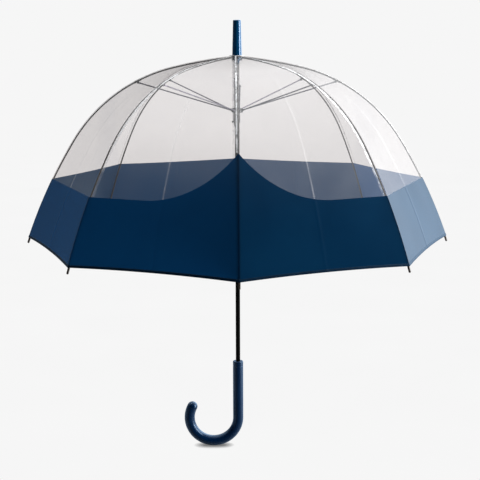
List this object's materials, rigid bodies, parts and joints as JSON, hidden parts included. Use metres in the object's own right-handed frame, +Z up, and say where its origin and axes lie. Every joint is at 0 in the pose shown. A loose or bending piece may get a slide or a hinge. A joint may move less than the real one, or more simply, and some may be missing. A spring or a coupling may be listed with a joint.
{
  "type": "dome umbrella",
  "caption": "Clear deep-dome umbrella with a coloured hem band, folding ribs and stretchers on a sliding runner, shaft catches, ferrule and crook handle.",
  "frame": {"origin": "On the shaft's axis, halfway down the straight part of the handle's grip, umbrella open.", "axes": "+Z points up the shaft from the handle to the ferrule, -X is the way the crook bends, +Y points away from the front rib."},
  "size_m": [0.865, 0.865, 0.8892],
  "materials": {
    "clear_film": "clear embossed film with soft sheen",
    "navy_film": "navy printed film, glossy",
    "rib_rod": "black glass-fibre rod with moulded tips",
    "stretcher_steel": "dark plated steel",
    "navy_plastic": "polished navy plastic",
    "washer_plastic": "clear plastic disc",
    "shaft_steel": "black lacquered steel tube",
    "black_plastic": "moulded black plastic",
    "bright_steel": "bright spring steel"
  },
  "bodies": {
    "frame": {"handle": "navy_plastic", "handle_collar": "navy_plastic", "shaft": "shaft_steel", "stop_pin": "bright_steel", "ferrule": "navy_plastic", "canopy_washer": "washer_plastic", "crown": "black_plastic", "crown_wire": "bright_steel"},
    "runner": {"runner": "black_plastic"},
    "lever": {"runner_lever": "black_plastic"},
    "upper_catch": {"upper_catch": "bright_steel"},
    "lower_catch": {"lower_catch": "bright_steel"},
    "rib_upper_1": {"rib_upper_1": "rib_rod", "canopy_top_1": "clear_film"},
    "rib_lower_1": {"rib_lower_1": "rib_rod", "canopy_side_1": "clear_film", "canopy_band_1": "navy_film"},
    "stretcher_1": {"stretcher_1": "stretcher_steel"},
    "rib_upper_2": {"rib_upper_2": "rib_rod", "canopy_top_2": "clear_film"},
    "rib_lower_2": {"rib_lower_2": "rib_rod", "canopy_side_2": "clear_film", "canopy_band_2": "navy_film"},
    "stretcher_2": {"stretcher_2": "stretcher_steel"},
    "rib_upper_3": {"rib_upper_3": "rib_rod", "canopy_top_3": "clear_film"},
    "rib_lower_3": {"rib_lower_3": "rib_rod", "canopy_side_3": "clear_film", "canopy_band_3": "navy_film"},
    "stretcher_3": {"stretcher_3": "stretcher_steel"},
    "rib_upper_4": {"rib_upper_4": "rib_rod", "canopy_top_4": "clear_film"},
    "rib_lower_4": {"rib_lower_4": "rib_rod", "canopy_side_4": "clear_film", "canopy_band_4": "navy_film"},
    "stretcher_4": {"stretcher_4": "stretcher_steel"},
    "rib_upper_5": {"rib_upper_5": "rib_rod", "canopy_top_5": "clear_film"},
    "rib_lower_5": {"rib_lower_5": "rib_rod", "canopy_side_5": "clear_film", "canopy_band_5": "navy_film"},
    "stretcher_5": {"stretcher_5": "stretcher_steel"},
    "rib_upper_6": {"rib_upper_6": "rib_rod", "canopy_top_6": "clear_film"},
    "rib_lower_6": {"rib_lower_6": "rib_rod", "canopy_side_6": "clear_film", "canopy_band_6": "navy_film"},
    "stretcher_6": {"stretcher_6": "stretcher_steel"},
    "rib_upper_7": {"rib_upper_7": "rib_rod", "canopy_top_7": "clear_film"},
    "rib_lower_7": {"rib_lower_7": "rib_rod", "canopy_side_7": "clear_film", "canopy_band_7": "navy_film"},
    "stretcher_7": {"stretcher_7": "stretcher_steel"},
    "rib_upper_8": {"rib_upper_8": "rib_rod", "canopy_top_8": "clear_film"},
    "rib_lower_8": {"rib_lower_8": "rib_rod", "canopy_side_8": "clear_film", "canopy_band_8": "navy_film"},
    "stretcher_8": {"stretcher_8": "stretcher_steel"}
  },
  "joints": [
    {"name": "runner_slide", "type": "slide", "parent": "frame", "child": "runner", "axis": [0, 0, 1], "range_m": [-0.286, 0]},
    {"name": "lever_press", "type": "hinge", "parent": "runner", "child": "lever", "pos_m": [-0.0075, 0, 0.5804], "axis": [0, 1, 0], "range_deg": [-3, 0], "stiffness_Nm_per_rad": 0.02},
    {"name": "upper_catch_press", "type": "slide", "parent": "frame", "child": "upper_catch", "axis": [1, 0, 0], "range_m": [0, 0.0018], "stiffness_N_per_m": 400},
    {"name": "lower_catch_press", "type": "slide", "parent": "frame", "child": "lower_catch", "axis": [1, 0, 0], "range_m": [0, 0.0018], "stiffness_N_per_m": 400},
    {"name": "rib_fold_1", "type": "hinge", "parent": "frame", "child": "rib_upper_1", "pos_m": [0, -0.00772, 0.69101], "axis": [1, 0, 0], "range_deg": [0, 69.43], "deforming": ["canopy_top_1"]},
    {"name": "rib_flex_1", "type": "hinge", "parent": "rib_upper_1", "child": "rib_lower_1", "pos_m": [0, -0.26206, 0.6041], "axis": [1, 0, 0], "range_deg": [-38.67, 0], "deforming": ["canopy_side_1", "canopy_band_1"]},
    {"name": "stretcher_pivot_1", "type": "hinge", "parent": "rib_upper_1", "child": "stretcher_1", "pos_m": [0.0039, -0.19789, 0.64203], "axis": [1, 0, 0], "range_deg": [-137.06, 0]},
    {"name": "rib_fold_2", "type": "hinge", "parent": "frame", "child": "rib_upper_2", "pos_m": [0.00546, -0.00546, 0.69101], "axis": [0.7071, 0.7071, 0], "range_deg": [0, 69.43], "deforming": ["canopy_top_2"]},
    {"name": "rib_flex_2", "type": "hinge", "parent": "rib_upper_2", "child": "rib_lower_2", "pos_m": [0.1853, -0.1853, 0.6041], "axis": [0.7071, 0.7071, 0], "range_deg": [-38.67, 0], "deforming": ["canopy_side_2", "canopy_band_2"]},
    {"name": "stretcher_pivot_2", "type": "hinge", "parent": "rib_upper_2", "child": "stretcher_2", "pos_m": [0.14269, -0.13717, 0.64203], "axis": [0.7071, 0.7071, 0], "range_deg": [-137.06, 0]},
    {"name": "rib_fold_3", "type": "hinge", "parent": "frame", "child": "rib_upper_3", "pos_m": [0.00772, 0, 0.69101], "axis": [0, 1, 0], "range_deg": [0, 69.43], "deforming": ["canopy_top_3"]},
    {"name": "rib_flex_3", "type": "hinge", "parent": "rib_upper_3", "child": "rib_lower_3", "pos_m": [0.26206, 0, 0.6041], "axis": [0, 1, 0], "range_deg": [-38.67, 0], "deforming": ["canopy_side_3", "canopy_band_3"]},
    {"name": "stretcher_pivot_3", "type": "hinge", "parent": "rib_upper_3", "child": "stretcher_3", "pos_m": [0.19789, 0.0039, 0.64203], "axis": [0, 1, 0], "range_deg": [-137.06, 0]},
    {"name": "rib_fold_4", "type": "hinge", "parent": "frame", "child": "rib_upper_4", "pos_m": [0.00546, 0.00546, 0.69101], "axis": [-0.7071, 0.7071, 0], "range_deg": [0, 69.43], "deforming": ["canopy_top_4"]},
    {"name": "rib_flex_4", "type": "hinge", "parent": "rib_upper_4", "child": "rib_lower_4", "pos_m": [0.1853, 0.1853, 0.6041], "axis": [-0.7071, 0.7071, 0], "range_deg": [-38.67, 0], "deforming": ["canopy_side_4", "canopy_band_4"]},
    {"name": "stretcher_pivot_4", "type": "hinge", "parent": "rib_upper_4", "child": "stretcher_4", "pos_m": [0.13717, 0.14269, 0.64203], "axis": [-0.7071, 0.7071, 0], "range_deg": [-137.06, 0]},
    {"name": "rib_fold_5", "type": "hinge", "parent": "frame", "child": "rib_upper_5", "pos_m": [0, 0.00772, 0.69101], "axis": [-1, 0, 0], "range_deg": [0, 69.43], "deforming": ["canopy_top_5"]},
    {"name": "rib_flex_5", "type": "hinge", "parent": "rib_upper_5", "child": "rib_lower_5", "pos_m": [0, 0.26206, 0.6041], "axis": [-1, 0, 0], "range_deg": [-38.67, 0], "deforming": ["canopy_side_5", "canopy_band_5"]},
    {"name": "stretcher_pivot_5", "type": "hinge", "parent": "rib_upper_5", "child": "stretcher_5", "pos_m": [-0.0039, 0.19789, 0.64203], "axis": [-1, 0, 0], "range_deg": [-137.06, 0]},
    {"name": "rib_fold_6", "type": "hinge", "parent": "frame", "child": "rib_upper_6", "pos_m": [-0.00546, 0.00546, 0.69101], "axis": [-0.7071, -0.7071, 0], "range_deg": [0, 69.43], "deforming": ["canopy_top_6"]},
    {"name": "rib_flex_6", "type": "hinge", "parent": "rib_upper_6", "child": "rib_lower_6", "pos_m": [-0.1853, 0.1853, 0.6041], "axis": [-0.7071, -0.7071, 0], "range_deg": [-38.67, 0], "deforming": ["canopy_side_6", "canopy_band_6"]},
    {"name": "stretcher_pivot_6", "type": "hinge", "parent": "rib_upper_6", "child": "stretcher_6", "pos_m": [-0.14269, 0.13717, 0.64203], "axis": [-0.7071, -0.7071, 0], "range_deg": [-137.06, 0]},
    {"name": "rib_fold_7", "type": "hinge", "parent": "frame", "child": "rib_upper_7", "pos_m": [-0.00772, 0, 0.69101], "axis": [0, -1, 0], "range_deg": [0, 69.43], "deforming": ["canopy_top_7"]},
    {"name": "rib_flex_7", "type": "hinge", "parent": "rib_upper_7", "child": "rib_lower_7", "pos_m": [-0.26206, 0, 0.6041], "axis": [0, -1, 0], "range_deg": [-38.67, 0], "deforming": ["canopy_side_7", "canopy_band_7"]},
    {"name": "stretcher_pivot_7", "type": "hinge", "parent": "rib_upper_7", "child": "stretcher_7", "pos_m": [-0.19789, -0.0039, 0.64203], "axis": [0, -1, 0], "range_deg": [-137.06, 0]},
    {"name": "rib_fold_8", "type": "hinge", "parent": "frame", "child": "rib_upper_8", "pos_m": [-0.00546, -0.00546, 0.69101], "axis": [0.7071, -0.7071, 0], "range_deg": [0, 69.43], "deforming": ["canopy_top_8"]},
    {"name": "rib_flex_8", "type": "hinge", "parent": "rib_upper_8", "child": "rib_lower_8", "pos_m": [-0.1853, -0.1853, 0.6041], "axis": [0.7071, -0.7071, 0], "range_deg": [-38.67, 0], "deforming": ["canopy_side_8", "canopy_band_8"]},
    {"name": "stretcher_pivot_8", "type": "hinge", "parent": "rib_upper_8", "child": "stretcher_8", "pos_m": [-0.13717, -0.14269, 0.64203], "axis": [0.7071, -0.7071, 0], "range_deg": [-137.06, 0]}
  ],
  "couplings": [
    {"joint": "rib_fold_1", "follows": "runner_slide", "rad_per_m": -4.2366},
    {"joint": "rib_flex_1", "follows": "runner_slide", "rad_per_m": 2.3593},
    {"joint": "stretcher_pivot_1", "follows": "runner_slide", "rad_per_m": 8.3638},
    {"joint": "rib_fold_2", "follows": "runner_slide", "rad_per_m": -4.2366},
    {"joint": "rib_flex_2", "follows": "runner_slide", "rad_per_m": 2.3593},
    {"joint": "stretcher_pivot_2", "follows": "runner_slide", "rad_per_m": 8.3638},
    {"joint": "rib_fold_3", "follows": "runner_slide", "rad_per_m": -4.2366},
    {"joint": "rib_flex_3", "follows": "runner_slide", "rad_per_m": 2.3593},
    {"joint": "stretcher_pivot_3", "follows": "runner_slide", "rad_per_m": 8.3638},
    {"joint": "rib_fold_4", "follows": "runner_slide", "rad_per_m": -4.2366},
    {"joint": "rib_flex_4", "follows": "runner_slide", "rad_per_m": 2.3593},
    {"joint": "stretcher_pivot_4", "follows": "runner_slide", "rad_per_m": 8.3638},
    {"joint": "rib_fold_5", "follows": "runner_slide", "rad_per_m": -4.2366},
    {"joint": "rib_flex_5", "follows": "runner_slide", "rad_per_m": 2.3593},
    {"joint": "stretcher_pivot_5", "follows": "runner_slide", "rad_per_m": 8.3638},
    {"joint": "rib_fold_6", "follows": "runner_slide", "rad_per_m": -4.2366},
    {"joint": "rib_flex_6", "follows": "runner_slide", "rad_per_m": 2.3593},
    {"joint": "stretcher_pivot_6", "follows": "runner_slide", "rad_per_m": 8.3638},
    {"joint": "rib_fold_7", "follows": "runner_slide", "rad_per_m": -4.2366},
    {"joint": "rib_flex_7", "follows": "runner_slide", "rad_per_m": 2.3593},
    {"joint": "stretcher_pivot_7", "follows": "runner_slide", "rad_per_m": 8.3638},
    {"joint": "rib_fold_8", "follows": "runner_slide", "rad_per_m": -4.2366},
    {"joint": "rib_flex_8", "follows": "runner_slide", "rad_per_m": 2.3593},
    {"joint": "stretcher_pivot_8", "follows": "runner_slide", "rad_per_m": 8.3638}
  ]
}
